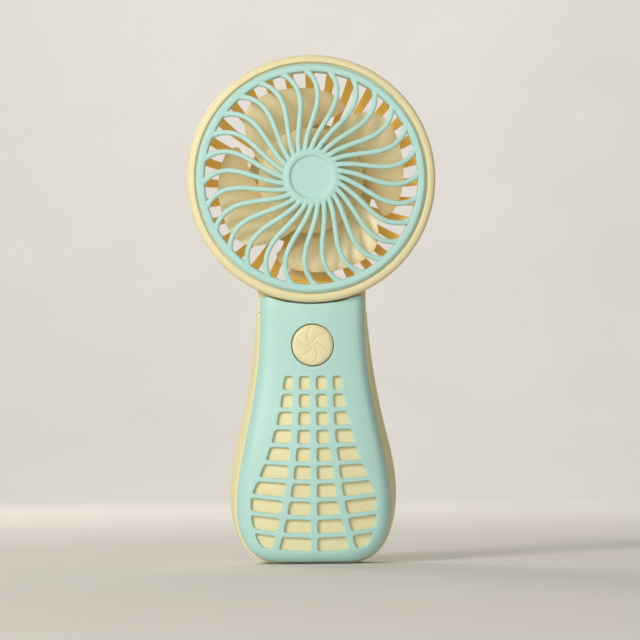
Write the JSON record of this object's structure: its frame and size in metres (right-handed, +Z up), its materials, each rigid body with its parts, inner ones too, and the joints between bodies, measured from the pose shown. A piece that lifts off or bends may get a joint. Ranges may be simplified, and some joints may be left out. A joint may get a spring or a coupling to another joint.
{
  "type": "handheld electric fan",
  "caption": "Small battery fan: round caged head with a swept impeller on a flat bellied handle that stands on its base, with a push button.",
  "frame": {"origin": "middle of the flat base on which the fan stands", "axes": "+Z up along the handle to the head, front with the grille and the button towards -Y, +X to the right seen from the front"},
  "size_m": [0.0906, 0.034, 0.1854],
  "materials": {
    "mint_plastic": "fine matte moulding",
    "cream_plastic": "fine matte moulding",
    "blade_plastic": "smooth, slightly translucent moulding",
    "rotor_steel": "drawn and plated",
    "magnet": "bonded magnet, dull",
    "shaft_steel": "ground",
    "bearing_bronze": "sintered, oiled",
    "lamination": "coated stack",
    "copper_wire": "enamelled winding",
    "circuit_board": "solder mask",
    "chip_black": "moulded epoxy",
    "motor_alloy": "die cast",
    "screw_steel": "zinc plated",
    "wire_sheath": "soft sheath",
    "cell_can": "sleeved can",
    "nickel": "thin strip",
    "foam": "closed-cell foam",
    "socket_steel": "plated shell",
    "lamp_clear": "clear moulding"
  },
  "bodies": {
    "handle": {"head_housing": "cream_plastic", "front_grille": "mint_plastic", "front_bearing": "bearing_bronze", "rear_bearing": "bearing_bronze", "stator_core": "lamination", "stator_windings": "copper_wire", "motor_board": "circuit_board", "motor_driver_chip": "chip_black", "motor_base": "motor_alloy", "motor_screws": "screw_steel", "rear_cap": "cream_plastic", "motor_wires": "wire_sheath", "front_cover": "mint_plastic", "inner_shell": "cream_plastic", "rear_shell": "cream_plastic", "shell_screws": "screw_steel", "switch_housing": "chip_black", "control_board": "circuit_board", "board_components": "chip_black", "battery_cell": "cell_can", "battery_tabs": "nickel", "battery_leads": "wire_sheath", "battery_pad": "foam", "charge_board": "circuit_board", "charging_socket": "socket_steel", "socket_tongue": "chip_black", "indicator_lamp": "lamp_clear", "light_pipe": "lamp_clear"},
    "rotor": {"impeller": "blade_plastic", "rotor_cup": "rotor_steel", "magnet_ring": "magnet", "motor_shaft": "shaft_steel"},
    "button": {"power_button": "cream_plastic"},
    "plunger": {"switch_plunger": "chip_black"}
  },
  "joints": [
    {"name": "impeller_spin", "type": "hinge", "parent": "handle", "child": "rotor", "pos_m": [0, 0, 0.14007], "axis": [0, 1, 0], "continuous": true},
    {"name": "button_press", "type": "slide", "parent": "handle", "child": "button", "axis": [0, 1, 0], "range_m": [0, 0.0004], "stiffness_N_per_m": 1500, "springref_m": -0.0002},
    {"name": "plunger_press", "type": "slide", "parent": "handle", "child": "plunger", "axis": [0, 1, 0], "range_m": [0, 0.0004]}
  ],
  "couplings": [
    {"joint": "plunger_press", "follows": "button_press", "ratio": 1}
  ]
}
